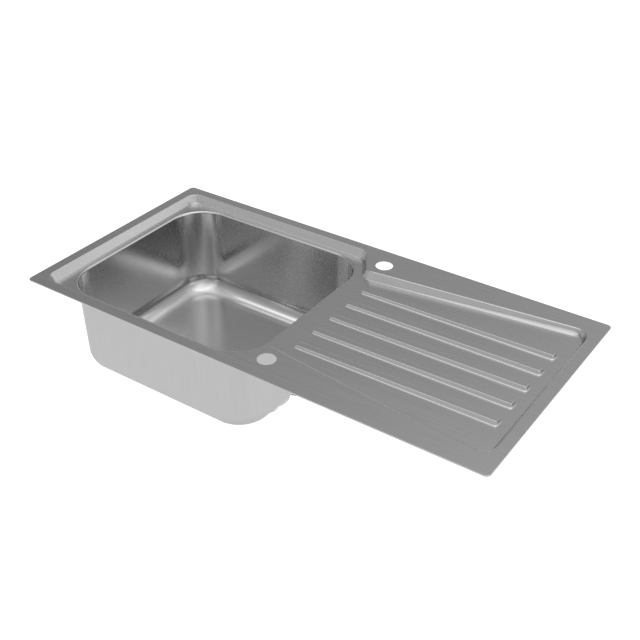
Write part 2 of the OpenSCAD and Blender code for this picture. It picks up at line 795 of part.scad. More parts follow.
// Ribbed nuts that hold the hose's ends
nut_h = 24;
nut_lap = 5;
GRIPS = 12;
module hose_nut() {
    bore = hose_d / 2 + 1.5 * slack;
    difference() {
        union() {
            cylinder(h = nut_h, r = bore + nut_t);
            for (k = [0:GRIPS - 1])
                rotate([0, 0, k * 360 / GRIPS])
                    translate([bore + nut_t - grip_r / 3, 0, 0])
                        cylinder(h = nut_h, r = grip_r);
        }
        translate([0, 0, -over])
            cylinder(h = nut_h + 2 * over, r = bore);
    }
}
module hose_nuts() color("gray") {
    translate(spout_from + spout_dir * (spout_len - slip - nut_lap))
        rotate([0, 180 + draft, 0])
            hose_nut();
    at_waste()
        rotate([0, 0, inlet_turn])
            translate([inlet_len - slip - nut_lap, 0, inlet_z])
                rotate([0, 90, 0])
                    hose_nut();
}

// Clamps: a bracket on the sheet carries a frame that turns on a pivot, with a screw and a claw in it
clamp_t = 1.5;
clamp_half = 6;
clamp_z = ledge_z - sheet - clamp_t;
frame_back = 8;
collar_t = 1;
claw_t = 2.5;
claw_z = clamp_z - 2 * clamp_t - 4 * slack - claw_t - claw_rise;
frame_low = claw_z - collar_t - 2 * slack - clamp_t;
bracket_l = 20;
bracket_w = 14;
foot_l = 7;
pivot_r = 3;
pivot_head_r = 5.2;
clamp_side_y = tray_half(wall_x + clamp_far_gap + bracket_l / 2 + foot_l)
    + step_sheet + bracket_w / 2 + slack;
clamp_left_x = -recess_end + end_run;
clamp_right_x = recess_end - end_run - clamp_half;
// For each clamp its x, y, the direction of its stowed claw and the height of the sheet over it
clamp_places = [
    for (sy = [-1, 1]) for (x = [clamp_near_gap, clamp_far_gap]) [wall_x + x, sy * clamp_side_y, 0, top_z - sheet],
    for (sy = [-1, 1]) [clamp_left_x, sy * clamp_end_y, -90 * sy, ledge_z - sheet],
    for (sy = [-1, 1])
        [clamp_right_x, sy * clamp_end_y, -90 * sy, floor_z(clamp_right_x - bracket_w / 2) - sheet]];
module at_clamp(i)
    translate([clamp_places[i].x, clamp_places[i].y, 0])
        rotate([0, 0, clamp_places[i].z])
            children();

// A hat-shaped bracket, spot-welded by its feet under the sheet
module clamp_brackets() color("lightsteelblue")
    for (i = [0:CLAMPS - 1])
        at_clamp(i)
            difference() {
                roof = clamp_places[i][3];
                union() {
                    translate([-bracket_l / 2, -bracket_w / 2, clamp_z])
                        cube([bracket_l, bracket_w, clamp_t]);
                    for (s = [0, 1])
                        mirror([s, 0, 0]) {
                            translate([bracket_l / 2 - clamp_t, -bracket_w / 2, clamp_z])
                                cube([clamp_t, bracket_w, roof - clamp_z]);
                            translate([bracket_l / 2 - clamp_t, -bracket_w / 2, roof - clamp_t])
                                cube([foot_l + clamp_t, bracket_w, clamp_t]);
                        }
                }
                translate([0, 0, clamp_z - over])
                    cylinder(h = clamp_t + 2 * over, r = pivot_r);
            }

// Headed pivots, riveted into the brackets
module clamp_pivots() color("silver")
    for (i = [0:CLAMPS - 1])
        at_clamp(i) {
            head = clamp_z - clamp_t - 2 * slack;
            translate([0, 0, head - clamp_t])
                cylinder(h = clamp_z + clamp_t - head + clamp_t, r = pivot_r);
            translate([0, 0, head - clamp_t])
                cylinder(h = clamp_t, r = pivot_head_r);
        }

// A U-shaped frame that turns on its pivot and holds the screw
running = 0.08;
module clamp_frame(i) color("silver")
    at_clamp(i)
        difference() {
            rotate([90, 0, 0])
                linear_extrude(2 * clamp_half, center = true)
                    polygon([
                        [-frame_back, clamp_z - slack],
                        [clamp_half, clamp_z - slack],
                        [clamp_half, clamp_z - slack - clamp_t],
                        [-frame_back + clamp_t, clamp_z - slack - clamp_t],
                        [-frame_back + clamp_t, frame_low + clamp_t],
                        [clamp_half, frame_low + clamp_t],
                        [clamp_half, frame_low],
                        [-frame_back, frame_low]]);
            translate([0, 0, clamp_z - 2 * clamp_t])
                cylinder(h = 3 * clamp_t, r = pivot_r + running);
            translate([0, 0, frame_low - over])
                cylinder(h = clamp_t + 2 * over, r = clamp_screw_d / 2 + running);
        }

// Clamp screw with a slotted head below the frame and a collar that rests on it
screw_head_t = 3;
screw_slot = 1.2;
module clamp_screw(i) color("gainsboro")
    at_clamp(i) {
        low = frame_low - slack - screw_head_t;
        translate([0, 0, low])
            difference() {
                cylinder(h = screw_head_t, r = clamp_screw_d * 3 / 4);
                cube([2 * clamp_screw_d, screw_slot, 2 * screw_slot], center = true);
            }
        translate([0, 0, low + screw_head_t / 2])
            cylinder(h = clamp_z - 2 * clamp_t - 4 * slack - low - screw_head_t / 2, d = clamp_screw_d);
        translate([0, 0, frame_low + clamp_t + slack / 2])
            cylinder(h = collar_t, r = clamp_screw_d * 2 / 3);
    }

// Threaded claw: it climbs the screw, and its teeth bite under the worktop
claw_crank = 5.5;
tooth_h = 4;
tooth_l = 6;
module clamp_claw(i) color("silver")
    at_clamp(i)
        difference() {
            rotate([90, 0, 0])
                linear_extrude(2 * clamp_half, center = true)
                    polygon([
                        [-frame_back + clamp_t + slack, claw_z],
                        [clamp_half + claw_t, claw_z],
                        [clamp_half + claw_t + claw_crank, claw_z - claw_crank],
                        [claw_reach, claw_z - claw_crank],
                        [claw_reach, claw_z - claw_crank + claw_t + tooth_h],
                        [claw_reach - claw_t, claw_z - claw_crank + claw_t],
                        [claw_reach - tooth_l, claw_z - claw_crank + claw_t + tooth_h],
                        [claw_reach - tooth_l - claw_t, claw_z - claw_crank + claw_t],
                        [clamp_half + 2 * claw_t + claw_crank, claw_z - claw_crank + claw_t],
                        [clamp_half + 2 * claw_t, claw_z + claw_t],
                        [-frame_back + clamp_t + slack, claw_z + claw_t]]);
            translate([0, 0, claw_z - over])
                cylinder(h = claw_t + 2 * over, r = clamp_screw_d / 2 + running);
        }

sink_top();
bowl();
rim_seal();
sound_pad();
flange_seal();
strainer_flange();
strainer_basket();
basket_stopper();
basket_knob();
waste_seal();
waste_body();
waste_screw();
overflow_cover();
overflow_screw();
overflow_seal();
overflow_body();
overflow_hose();
hose_nuts();
clamp_brackets();
clamp_pivots();
for (i = [0:CLAMPS - 1]) clamp_frame(i);
for (i = [0:CLAMPS - 1]) clamp_screw(i);
for (i = [0:CLAMPS - 1]) clamp_claw(i);
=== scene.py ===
import math

import bpy
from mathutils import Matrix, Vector
from mathutils.geometry import delaunay_2d_cdt


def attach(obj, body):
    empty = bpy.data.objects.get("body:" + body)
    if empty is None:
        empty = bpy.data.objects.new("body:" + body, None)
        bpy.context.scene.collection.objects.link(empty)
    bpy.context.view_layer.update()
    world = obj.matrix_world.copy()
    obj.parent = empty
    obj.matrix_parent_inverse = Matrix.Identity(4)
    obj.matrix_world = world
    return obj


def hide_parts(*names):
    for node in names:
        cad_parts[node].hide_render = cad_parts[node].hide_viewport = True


# The studio. A long lens looks down on the sink from the front right, past its drainboard. The
# room is grey with soft lamps all round it, and white only where the camera looks straight at it.
# A pale floor lies well below.
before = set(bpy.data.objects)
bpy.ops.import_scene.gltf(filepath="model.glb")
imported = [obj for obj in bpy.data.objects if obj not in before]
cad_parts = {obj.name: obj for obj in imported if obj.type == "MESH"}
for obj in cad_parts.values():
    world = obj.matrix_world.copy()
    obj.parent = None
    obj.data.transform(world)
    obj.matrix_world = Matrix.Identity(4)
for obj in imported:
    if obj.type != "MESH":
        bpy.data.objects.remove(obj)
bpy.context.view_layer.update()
mm = 0.001


def placed(name, data):
    """A new object in the scene, made from a mesh or a lens."""
    made = bpy.data.objects.new(name, data)
    bpy.context.scene.collection.objects.link(made)
    return made


eye_x, eye_y, eye_z = 946.88, -1332.22, 1044.0
turned_left, tipped_down = math.radians(34.717), math.radians(33.537)
lens = bpy.data.cameras.new("studio_camera")
lens.lens, lens.sensor_width = 57.875, 36
lens.clip_start, lens.clip_end = 0.05, 60
camera = placed("studio_camera", lens)
camera.location = (eye_x * mm, eye_y * mm, eye_z * mm)
camera.rotation_euler = (math.pi / 2 - tipped_down, 0, turned_left)
bpy.context.scene.camera = camera
bpy.context.scene.view_settings.view_transform = "Standard"


class Value:
    """One output socket, so that a mask or a height can be written as a sum."""

    def __init__(self, tree, socket):
        self.tree, self.socket = tree, socket

    def maths(self, operation, a, b):
        return node(self.tree, "ShaderNodeMath", {"operation": operation}, {0: a, 1: b})

    def __add__(self, other): return self.maths("ADD", self, other)
    def __sub__(self, other): return self.maths("SUBTRACT", self, other)
    def __mul__(self, other): return self.maths("MULTIPLY", self, other)
    def __radd__(self, other): return self.maths("ADD", other, self)
    def __rsub__(self, other): return self.maths("SUBTRACT", other, self)
    def __rmul__(self, other): return self.maths("MULTIPLY", other, self)

    def ramp(self, low, high):
        """0 at low, 1 at high, eased between."""
        return node(self.tree, "ShaderNodeMapRange", {"interpolation_type": "SMOOTHSTEP"},
                    {"Value": self, "From Min": low, "From Max": high})


def node(tree, kind, settings=None, sockets=None, out=0):
    """A node of that kind, its settings made first, then its sockets filled with values or links."""
    made = tree.nodes.new(kind)
    for name, value in (settings or {}).items():
        setattr(made, name, value)
    for name, value in (sockets or {}).items():
        if isinstance(value, Value):
            tree.links.new(value.socket, made.inputs[name])
        else:
            made.inputs[name].default_value = value
    return Value(tree, made.outputs[out])


world = bpy.data.worlds.new("studio_room")
bpy.context.scene.world = world
world.use_nodes = True
room = world.node_tree
room.nodes.clear()
toward = node(room, "ShaderNodeTexCoord", out="Generated")
# Each soft lamp: degrees round from the back towards the right, degrees up, spread, strength.
lamps = [(45, 2, 15, 0.43), (90, 2, 15, 2.1), (180, 2, 15, 1.0), (225, 2, 15, 0.5),
         (270, 2, 15, 0.47), (315, 2, 15, 0.32), (330, 6, 7, 0.9), (208, 14, 7, 0.2),
         (0, 27, 14, 0.33), (45, 27, 14, 0.64), (90, 27, 14, 0.1), (135, 27, 14, 0.37),
         (225, 27, 14, 0.1), (60, 52, 13, 0.12), (120, 52, 13, 0.72), (180, 52, 13, 0.73),
         (240, 52, 13, 0.32), (247, 60, 6, 1.3), (325, 66, 13, 0.9), (20, 66, 13, 0.78),
         (85, 66, 13, 0.63), (180, 68, 13, 0.2), (180, 74, 9, 0.5), (0, 90, 13, 0.7)]
wall_grey = 0.18
light = wall_grey
for turn, climb, spread, strength in lamps:
    turn, climb, spread = math.radians(turn), math.radians(climb), math.radians(spread)
    aim = (math.cos(climb) * math.sin(turn), math.cos(climb) * math.cos(turn), math.sin(climb))
    facing = node(room, "ShaderNodeVectorMath", {"operation": "DOT_PRODUCT"}, {0: toward, 1: aim}, "Value")
    fading = (facing - 1) * (1 / spread ** 2)
    light = strength * node(room, "ShaderNodeMath", {"operation": "EXPONENT"}, {0: fading}) + light
seen = node(room, "ShaderNodeLightPath", out="Is Camera Ray")
sky = node(room, "ShaderNodeBackground",
           sockets={"Color": (1, 1, 1, 1), "Strength": seen + (1 - seen) * light})
room.links.new(sky.socket, room.nodes.new("ShaderNodeOutputWorld").inputs["Surface"])

floor_reach, floor_z = 9000.0, -900.0
seen_glow, mirrored_glow, floor_grey = 0.5, 0.23, 0.86
floor_mesh = bpy.data.meshes.new("studio_floor")
floor_mesh.from_pydata([(x * floor_reach * mm, y * floor_reach * mm, floor_z * mm)
                        for x, y in ((-1, -1), (1, -1), (1, 1), (-1, 1))], [], [(0, 1, 2, 3)])
floor = placed("studio_floor", floor_mesh)
floor_paint = bpy.data.materials.new("studio_floor_paint")
floor_paint.use_nodes = True
tree = floor_paint.node_tree
tree.nodes.clear()
camera_ray, glossy_ray, clear_ray = (node(tree, "ShaderNodeLightPath", out=f"Is {kind} Ray")
                                     for kind in ("Camera", "Glossy", "Transmission"))
glow = seen_glow * camera_ray + mirrored_glow * (glossy_ray + clear_ray)
matt = node(tree, "ShaderNodeBsdfDiffuse", sockets={"Color": (floor_grey, floor_grey, floor_grey, 1)})
lifted = node(tree, "ShaderNodeEmission", sockets={"Color": (1, 1, 1, 1), "Strength": glow})
both = node(tree, "ShaderNodeAddShader", sockets={0: matt, 1: lifted})
tree.links.new(both.socket, tree.nodes.new("ShaderNodeOutputMaterial").inputs["Surface"])
floor_mesh.materials.append(floor_paint)

# The top. One millimetre stainless sheet, pressed in one stroke: a flat rim, a recess that steps
# down to a ledge round the bowl and runs out to the right as the drainboard, and five ribs on it.
# Its edge is folded down onto the worktop, and two tap holes are punched through the rim.
sheet = 1.0
lip_h, plate_w, plate_d, plate_r, edge_fold = 2.2, 1000.0, 492.0, 9.0, 0.9
recess_depth, board_rise = 16.0, 5.5
rim_z, ledge_z = lip_h, lip_h - recess_depth
neck_x, waist_x, end_x = -13.0, 25.0, 478.0
near_half, far_half, recess_half = 158.5, 206.0, 224.0
board_r, waist_r, ledge_r = 28, 20, 25
tap_x, tap_y, tap_r, tap_sides = 45.5, 193.6, 17.5, 48
up = Vector((0, 0, 1))
# The recess anticlockwise from its front right corner, with the radius of each corner.
recess = [(end_x, -far_half, board_r), (end_x, far_half, board_r), (waist_x, near_half, waist_r),
          (neck_x, recess_half, ledge_r), (-end_x, recess_half, ledge_r),
          (-end_x, -recess_half, ledge_r), (neck_x, -recess_half, ledge_r),
          (waist_x, -near_half, waist_r)]
end_run, side_run = 10.0, 8.5    # how far the walls run inwards on their way down
recess_runs = [end_run, side_run, side_run, side_run] * 2


def floor_height(x):
    """Height of the recess floor, which climbs along the drainboard."""
    return ledge_z + max(0.0, x - waist_x) * board_rise / (end_x - waist_x)


def part_way(x, start, length):
    """How much of a length lies behind x, from 0 to 1."""
    return min(1, max(0, (x - start) / length))


def corner_points(a, b, c, r, steps):
    """Points of the arc that rounds the corner at b between a and c."""
    u, v = (a - b).normalized(), (c - b).normalized()
    half = math.acos(max(-1, min(1, u.dot(v)))) / 2
    centre = b + (u + v).normalized() * r / math.sin(half)
    p, q = b + u * r / math.tan(half) - centre, b + v * r / math.tan(half) - centre
    start = math.atan2(p.y, p.x)
    turn = (math.atan2(q.y, q.x) - start + 3 * math.pi) % (2 * math.pi) - math.pi
    return [centre + r * Vector((math.cos(start + turn * k / steps), math.sin(start + turn * k / steps)))
            for k in range(steps + 1)]


def joined(arcs, side_parts):
    """The ring through those arcs, each straight after an arc cut into that many equal parts."""
    ring = []
    for arc, after, parts in zip(arcs, arcs[1:] + arcs[:1], side_parts):
        ring += arc + [arc[-1].lerp(after[0], k / parts) for k in range(1, parts)]
    return ring


def pressed_outline(corners, runs, share, steps, side_parts):
    """The outline of the corners, with each side moved in by a share of its run."""
    n = len(corners)
    flat = [Vector(c[:2]) for c in corners]
    moved = []
    for i in range(n):
        d, e = (flat[i] - flat[i - 1]).normalized(), (flat[(i + 1) % n] - flat[i]).normalized()
        s, t = runs[i - 1] * share, runs[i] * share
        bend = d.x * e.y - d.y * e.x
        a, b = flat[i] + Vector((-d.y, d.x)) * s, flat[i] + Vector((-e.y, e.x)) * t
        along = ((b.x - a.x) * e.y - (b.y - a.y) * e.x) / bend
        moved.append((a + d * along, corners[i][2] - math.copysign(1, bend) * (s + t) / 2))
    return joined([corner_points(moved[i - 1][0], moved[i][0], moved[(i + 1) % n][0], moved[i][1], steps)
                   for i in range(n)], side_parts)


def inside(ring, p):
    """Whether p lies inside a ring, seen from above."""
    hit = False
    for k in range(len(ring)):
        a, b = ring[k - 1], ring[k]
        if (a.y > p.y) != (b.y > p.y) and p.x < (b.x - a.x) * (p.y - a.y) / (b.y - a.y) + a.x:
            hit = not hit
    return hit


def fold(u, z, r, slope, shares):
    """A bend between a level sheet and a wall that meet at u, z: distances, heights and slopes.

    Its shares go from 0 on the level sheet to 1 on the wall. A negative radius bends upwards."""
    return [(u + r * (math.sin(slope * share) - math.tan(slope / 2)), z - r * (1 - math.cos(slope * share)),
             slope * share) for share in shares]


class Skin:
    """A sheet-metal surface: points with their true normals, and faces between them."""

    def __init__(self):
        self.points, self.normals, self.faces = [], [], []

    def row(self, points, normals):
        first = len(self.points)
        self.points += [Vector(p) for p in points]
        self.normals += [Vector(n).normalized() for n in normals]
        return list(range(first, len(self.points)))

    def band(self, a, b):
        """Quads between two closed rows of as many points, a on the outside, seen from above."""
        n = len(a)
        for i in range(n):
            j = (i + 1) % n
            self.faces.append((a[i], a[j], b[j], b[i]))

    def wall(self, columns):
        """Closed rows through columns of points with their normals, and the bands between them."""
        rows = [self.row(*zip(*level)) for level in zip(*columns)]
        for a, b in zip(rows, rows[1:]):
            self.band(a, b)
        return rows

    def flat(self, outer, holes):
        """Triangles that fill the space between an outer row and the rows of its holes."""
        ids = list(outer) + [i for h in holes for i in h]
        place = {v: k for k, v in enumerate(ids)}
        edges = [(place[r[k]], place[r[(k + 1) % len(r)]]) for r in [outer] + holes for k in range(len(r))]
        found = delaunay_2d_cdt([self.points[i].xy for i in ids], edges, [], 0, 1e-7)
        rim, rings = [self.points[i].xy for i in outer], [[self.points[i].xy for i in h] for h in holes]
        for triangle in found[2]:
            a, b, c = (ids[found[3][k][0]] for k in triangle)
            middle = (self.points[a].xy + self.points[b].xy + self.points[c].xy) / 3
            if inside(rim, middle) and not any(inside(r, middle) for r in rings):
                u, v = self.points[b] - self.points[a], self.points[c] - self.points[a]
                self.faces.append((a, b, c) if u.cross(v).z > 0 else (a, c, b))


# The recess wall. Its upper bend is wider beside the board than beside the bowl, and its lower
# bend grows along the board's long sides.
upper_bend, upper_bend_more, wide_from, wide_run = 1.5, 2.1, 30.0, 30.0
lower_bend, lower_bend_more, growing_from, growing_run = 2.0, 14.0, 40.0, 400.0
onto_wall, off_wall = [k / 7 for k in range(8)], [1 - k / 9 for k in range(10)]
corner_steps, side_parts = 14, [10, 24, 8, 20, 16, 20, 8, 24]
top = Skin()
columns = []
for p, q in zip(pressed_outline(recess, recess_runs, 0, corner_steps, side_parts),
                pressed_outline(recess, recess_runs, 1, corner_steps, side_parts)):
    inward = (q - p).normalized()
    foot = q
    for _ in range(3):    # the floor climbs to the right, so the foot is found in steps
        depth = rim_z - floor_height(foot.x)
        foot = p + (q - p) * depth / recess_depth
    run = (q - p).length * depth / recess_depth
    slope = math.atan2(depth, run)
    upper_r = upper_bend + upper_bend_more * part_way(p.x, wide_from, wide_run)
    grown = part_way(foot.x, growing_from, growing_run) ** 1.2 * abs(inward.y) ** 3
    lower_r = lower_bend + lower_bend_more * grown
    profile = fold(0, rim_z, upper_r, slope, onto_wall) + fold(run, rim_z - depth, -lower_r, slope, off_wall)
    columns.append([((p + inward * u).to_3d() + up * z, inward.to_3d() * math.sin(a) + up * math.cos(a))
                    for u, z, a in profile])
wall_rows = top.wall(columns)
for i in wall_rows[-1]:
    top.points[i].z = floor_height(top.points[i].x)

# The turned-down edge, from the rim outwards and down.


def round_corners(w, d, r, steps, centre=(0, 0)):
    """The four corner arcs of a round-cornered rectangle, anticlockwise from the front right."""
    corners = [Vector((centre[0] + x * w / 2, centre[1] + y * d / 2))
               for x, y in ((1, -1), (1, 1), (-1, 1), (-1, -1))]
    return [corner_points(corners[i - 1], corners[i], corners[(i + 1) % 4], r, steps) for i in range(4)]


def outward(ring):
    """The level direction out of an anticlockwise ring, at each of its points."""
    found = []
    for before, after in zip(ring[-1:] + ring[:-1], ring[1:] + ring[:1]):
        along = (after - before).normalized()
        found.append(Vector((along.y, -along.x, 0)))
    return found


edge_rows = []
for k in range(5):
    a = math.pi / 2 * k / 4
    back = edge_fold * (1 - math.sin(a))
    ring = sum(round_corners(plate_w - 2 * back, plate_d - 2 * back, plate_r - back, 10), [])
    edge_rows.append(top.row([p.to_3d() + up * (rim_z - edge_fold * (1 - math.cos(a))) for p in ring],
                             [out * math.sin(a) + up * math.cos(a) for out in outward(ring)]))
edge_rows.append(top.row([(top.points[i].x, top.points[i].y, 0) for i in edge_rows[-1]],
                         [top.normals[i] for i in edge_rows[-1]]))
for a, b in zip(edge_rows, edge_rows[1:]):
    top.band(b, a)

# The tap holes, and the flat of the rim between them, the recess and the edge.
tap_edges = []
for side in (-1, 1):
    angles = [2 * math.pi * k / tap_sides for k in range(tap_sides)]
    tap_edges.append(top.row([(tap_x + tap_r * math.cos(a), side * tap_y + tap_r * math.sin(a), rim_z)
                              for a in angles], [up] * tap_sides))
top.flat(edge_rows[0], [wall_rows[0]] + tap_edges)

# The ribs, which grow taller towards the right and have steeper ends than sides.
rib_start, rib_end, rib_half, rib_corner, rib_spacing = 48.0, 451.0, 9.7, 5.6, 55.3
rib_near, rib_far, rib_side_lean, rib_end_lean = 4.5, 6.8, 0.6, 0.45
crest_r, foot_r = 1.6, 3.6
onto_rib, off_rib = [k / 5 for k in range(6)], [1 - k / 4 for k in range(5)]
rib_feet = []
for number in range(-2, 3):
    ring = sum(round_corners(rib_end - rib_start, 2 * rib_half, rib_corner, 6,
                             ((rib_start + rib_end) / 2, number * rib_spacing)), [])
    columns = []
    for p, out in zip(ring, outward(ring)):
        h = rib_near + (rib_far - rib_near) * (p.x - rib_start) / (rib_end - rib_start)
        run = h * (rib_side_lean * (1 - abs(out.x)) + rib_end_lean * abs(out.x))
        slope = math.atan2(h, run)
        profile = fold(0, 0, -foot_r, slope, onto_rib) + fold(-run, h, crest_r, slope, off_rib)
        columns.append([(p.to_3d() + out * u + up * (floor_height(p.x) + z),
                         out * math.sin(a) + up * math.cos(a)) for u, z, a in profile])
    rib_rows = top.wall(columns)
    for i in rib_rows[0]:
        top.points[i].z = floor_height(top.points[i].x)
    top.flat(rib_rows[-1], [])
    rib_feet.append(rib_rows[0])

# The mouth, where the bowl is welded in, and the flat of the ledge and board round it.
bowl_l, bowl_w, bowl_r, roll_r = 453.0, 404.0, 75.0, 4.0


def bowl_outline(s):
    """The bowl's outline, s further in than its mouth."""
    return joined(round_corners(bowl_l + 2 * roll_r - 2 * s, bowl_w + 2 * roll_r - 2 * s,
                                bowl_r + roll_r - s, 20, (-bowl_l / 2, 0)), [14] * 4)


mouth_ring = bowl_outline(0)
mouth = top.row([p.to_3d() + up * ledge_z for p in mouth_ring], [up] * len(mouth_ring))
top.flat(wall_rows[-1], [mouth] + rib_feet)


def shell(name, skin, thickness, open_rows):
    """A closed piece of sheet metal: the skin, its other side, and the cut edges between them."""
    n = len(skin.points)
    under = [p - q * thickness for p, q in zip(skin.points, skin.normals)]
    faces = skin.faces + [tuple(i + n for i in reversed(f)) for f in skin.faces]
    cut_from = len(faces)
    for row, outer in open_rows:
        for a, b in zip(row, row[1:] + row[:1]):
            faces.append((a, a + n, b + n, b) if outer else (a, b, b + n, a + n))
    mesh = bpy.data.meshes.new(name)
    mesh.from_pydata([p * mm for p in skin.points + under], [], faces)
    mesh.validate()
    normals = []
    for k, f in enumerate(mesh.polygons):
        f.use_smooth = k < cut_from
        f.material_index = int(k >= len(skin.faces))
        for v in f.vertices:
            if k >= cut_from:
                normals.append(tuple(f.normal))
            else:
                normals.append(tuple(skin.normals[v] if v < n else -skin.normals[v - n]))
    mesh.normals_split_custom_set(normals)
    return placed(name, mesh)


def surface(name, recipe):
    """A material whose Principled shader takes the sockets that the recipe gives for its tree."""
    made = bpy.data.materials.new(name)
    made.use_nodes = True
    tree = made.node_tree
    tree.nodes.clear()
    shader = node(tree, "ShaderNodeBsdfPrincipled", sockets=recipe(tree))
    tree.links.new(shader.socket, tree.nodes.new("ShaderNodeOutputMaterial").inputs["Surface"])
    return made


def spot(tree, x, y, z):
    """The place on the object, in metres, times a scale along each axis."""
    where = node(tree, "ShaderNodeTexCoord", out="Object")
    return node(tree, "ShaderNodeVectorMath", {"operation": "MULTIPLY"}, {0: where, 1: (x, y, z)})


def cloud(tree, x, y, z, detail=3.0):
    """Soft noise with that many lumps a metre along each axis, from 0 to 1."""
    return node(tree, "ShaderNodeTexNoise", sockets={"Vector": spot(tree, x, y, z), "Scale": 1.0, "Detail": detail})


def between(tree, share, low, high):
    """A colour between two, all of low at 0 and all of high at 1."""
    return node(tree, "ShaderNodeMix", {"data_type": "RGBA"}, {0: share, 6: (*low, 1), 7: (*high, 1)}, 2)


def relief(tree, height, depth):
    """Normals that follow a height, which stands for that many metres from 0 to 1."""
    return node(tree, "ShaderNodeBump", sockets={"Height": height, "Distance": depth})


def ground(tree):
    """Stainless sheet ground lengthwise, in fine lines along its long side."""
    grain = cloud(tree, 14, 900, 900)
    streak = cloud(tree, 5, 240, 240, 2.0)
    return {"Base Color": between(tree, streak.ramp(0.3, 0.7), (0.585, 0.585, 0.585), (0.615, 0.615, 0.615)),
            "Metallic": 1.0, "Roughness": 0.23 + 0.07 * grain, "Normal": relief(tree, grain, 0.004 * mm)}


def matt_back(tree):
    """The sheet's back as it leaves the press, dull, with faint marks of the drawing."""
    grain = cloud(tree, 900, 900, 900)
    smear = cloud(tree, 150, 150, 12, 2.0)
    return {"Base Color": between(tree, smear.ramp(0.2, 0.8), (0.605, 0.605, 0.605), (0.62, 0.62, 0.62)),
            "Metallic": 1.0, "Roughness": 0.44 + 0.1 * grain, "Normal": relief(tree, grain, 0.006 * mm)}


ground_steel = surface("ground_stainless", ground)
back_steel = surface("matt_stainless_back", matt_back)
top_piece = shell("pressed_top", top, sheet,
                  [(edge_rows[-1], True), (mouth, False), (tap_edges[0], False), (tap_edges[1], False)])
top_piece.data.materials.append(ground_steel)
top_piece.data.materials.append(back_steel)
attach(top_piece, "sink")
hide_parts("sink_top")

# The bowl. Deep-drawn from the same sheet, with upright walls, wide corners and a floor that
# falls to the waste. It is butt-welded to the ledge at its rolled mouth, and the weld is ground
# flush.
bowl_depth, draft, fillet_r = 209.0, math.radians(1.5), 38.0
floor_edge_z = rim_z - bowl_depth
roll_steps, wall_steps, fillet_steps = 6, 8, 14
bend_z = floor_edge_z + fillet_r
wall_top_z, wall_foot_z = ledge_z - roll_r * (1 - math.sin(draft)), bend_z - fillet_r * math.sin(draft)
wall_top = roll_r * math.cos(draft)
bend_in = wall_top + (wall_top_z - wall_foot_z) * math.tan(draft) + fillet_r * math.cos(draft)
wall_foot = bend_in - fillet_r * math.cos(draft)
# Each level of the roll, the wall and the fillet: how far in, how high, and its normal inwards and up.
profile = []
for k in range(roll_steps + 1):
    a = (math.pi / 2 - draft) * k / roll_steps
    profile.append((roll_r * math.sin(a), ledge_z - roll_r + roll_r * math.cos(a), math.sin(a), math.cos(a)))
for k in range(1, wall_steps):
    share = k / wall_steps
    profile.append((wall_top + (wall_foot - wall_top) * share, wall_top_z + (wall_foot_z - wall_top_z) * share,
                    math.cos(draft), math.sin(draft)))
for k in range(fillet_steps + 1):
    a = draft + (math.pi / 2 - draft) * k / fillet_steps
    profile.append((bend_in - fillet_r * math.cos(a), bend_z - fillet_r * math.sin(a), math.cos(a), math.sin(a)))

bowl = Skin()
bowl_rows = []
for s, z, level, climb in profile:
    ring = bowl_outline(s)
    bowl_rows.append(bowl.row([p.to_3d() + up * z for p in ring],
                              [up * climb - out * level for out in outward(ring)]))

# The floor and the dish of the strainer's seat, level by level: the share of the way from the
# floor's edge to a circle round the drain, that circle's radius, the drop, and the normal's lean.
drain = Vector((-112.0, 0))
dish = [(0.25, 64.0, 0.75, 0.02), (0.5, 64.0, 1.5, 0.02), (0.75, 64.0, 2.25, 0.02), (1, 64.0, 3.0, 0.02),
        (1, 62.7, 3.12, 0.3), (1, 61.5, 3.45, 0.75), (1, 58.9, 5.7, 0.75), (1, 57.5, 6.51, 0.1), (1, 45.0, 6.5, 0)]
floor_edge = bowl_outline(bend_in)
for share, r, drop, lean in dish:
    ring = [p.lerp(drain + (p - drain).normalized() * r, share) for p in floor_edge]
    bowl_rows.append(bowl.row([p.to_3d() + up * (floor_edge_z - drop) for p in ring],
                              [((drain - p).normalized() * lean).to_3d() + up * math.sqrt(1 - lean * lean)
                               for p in ring]))
for a, b in zip(bowl_rows, bowl_rows[1:]):
    bowl.band(a, b)
bowl_piece = shell("drawn_bowl", bowl, sheet, [(bowl_rows[0], True), (bowl_rows[-1], False)])
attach(bowl_piece, "sink")
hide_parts("bowl")


def drawn(tree):
    """The drawn face, smoother than the ground one, with faint upright pulls."""
    polish = cloud(tree, 700, 700, 220, 2.0)
    pull = cloud(tree, 90, 90, 12, 2.0)
    return {"Base Color": between(tree, pull.ramp(0.2, 0.8), (0.635, 0.635, 0.635), (0.655, 0.655, 0.655)),
            "Metallic": 1.0, "Roughness": 0.165 + 0.015 * polish, "Normal": relief(tree, polish, 0.0003 * mm)}


bowl_piece.data.materials.append(surface("drawn_stainless", drawn))
bowl_piece.data.materials.append(back_steel)

# Foam strip. Closed-cell foam cut as one frame and stuck under the rim, just inside the folded
# edge, where it is pressed flat on the worktop and keeps water out.


def dress(name, finish):
    """Gives a CAD piece its finish."""
    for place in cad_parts[name].material_slots:
        place.material = finish


def cells(tree):
    """Small round cells with thin skins between them."""
    bubble = node(tree, "ShaderNodeTexVoronoi", sockets={"Vector": spot(tree, 900, 900, 900), "Scale": 1.0})
    return {"Base Color": between(tree, bubble.ramp(0.1, 0.6), (0.055, 0.055, 0.06), (0.12, 0.12, 0.125)),
            "Roughness": 0.85, "Normal": relief(tree, bubble, 0.25 * mm)}


dress("rim_seal", surface("closed_cell_foam", cells))

# Damping pad. A sheet of bitumen felt with a hammered face, glued under the bowl's floor beside
# the waste, so that running water doesn't drum.


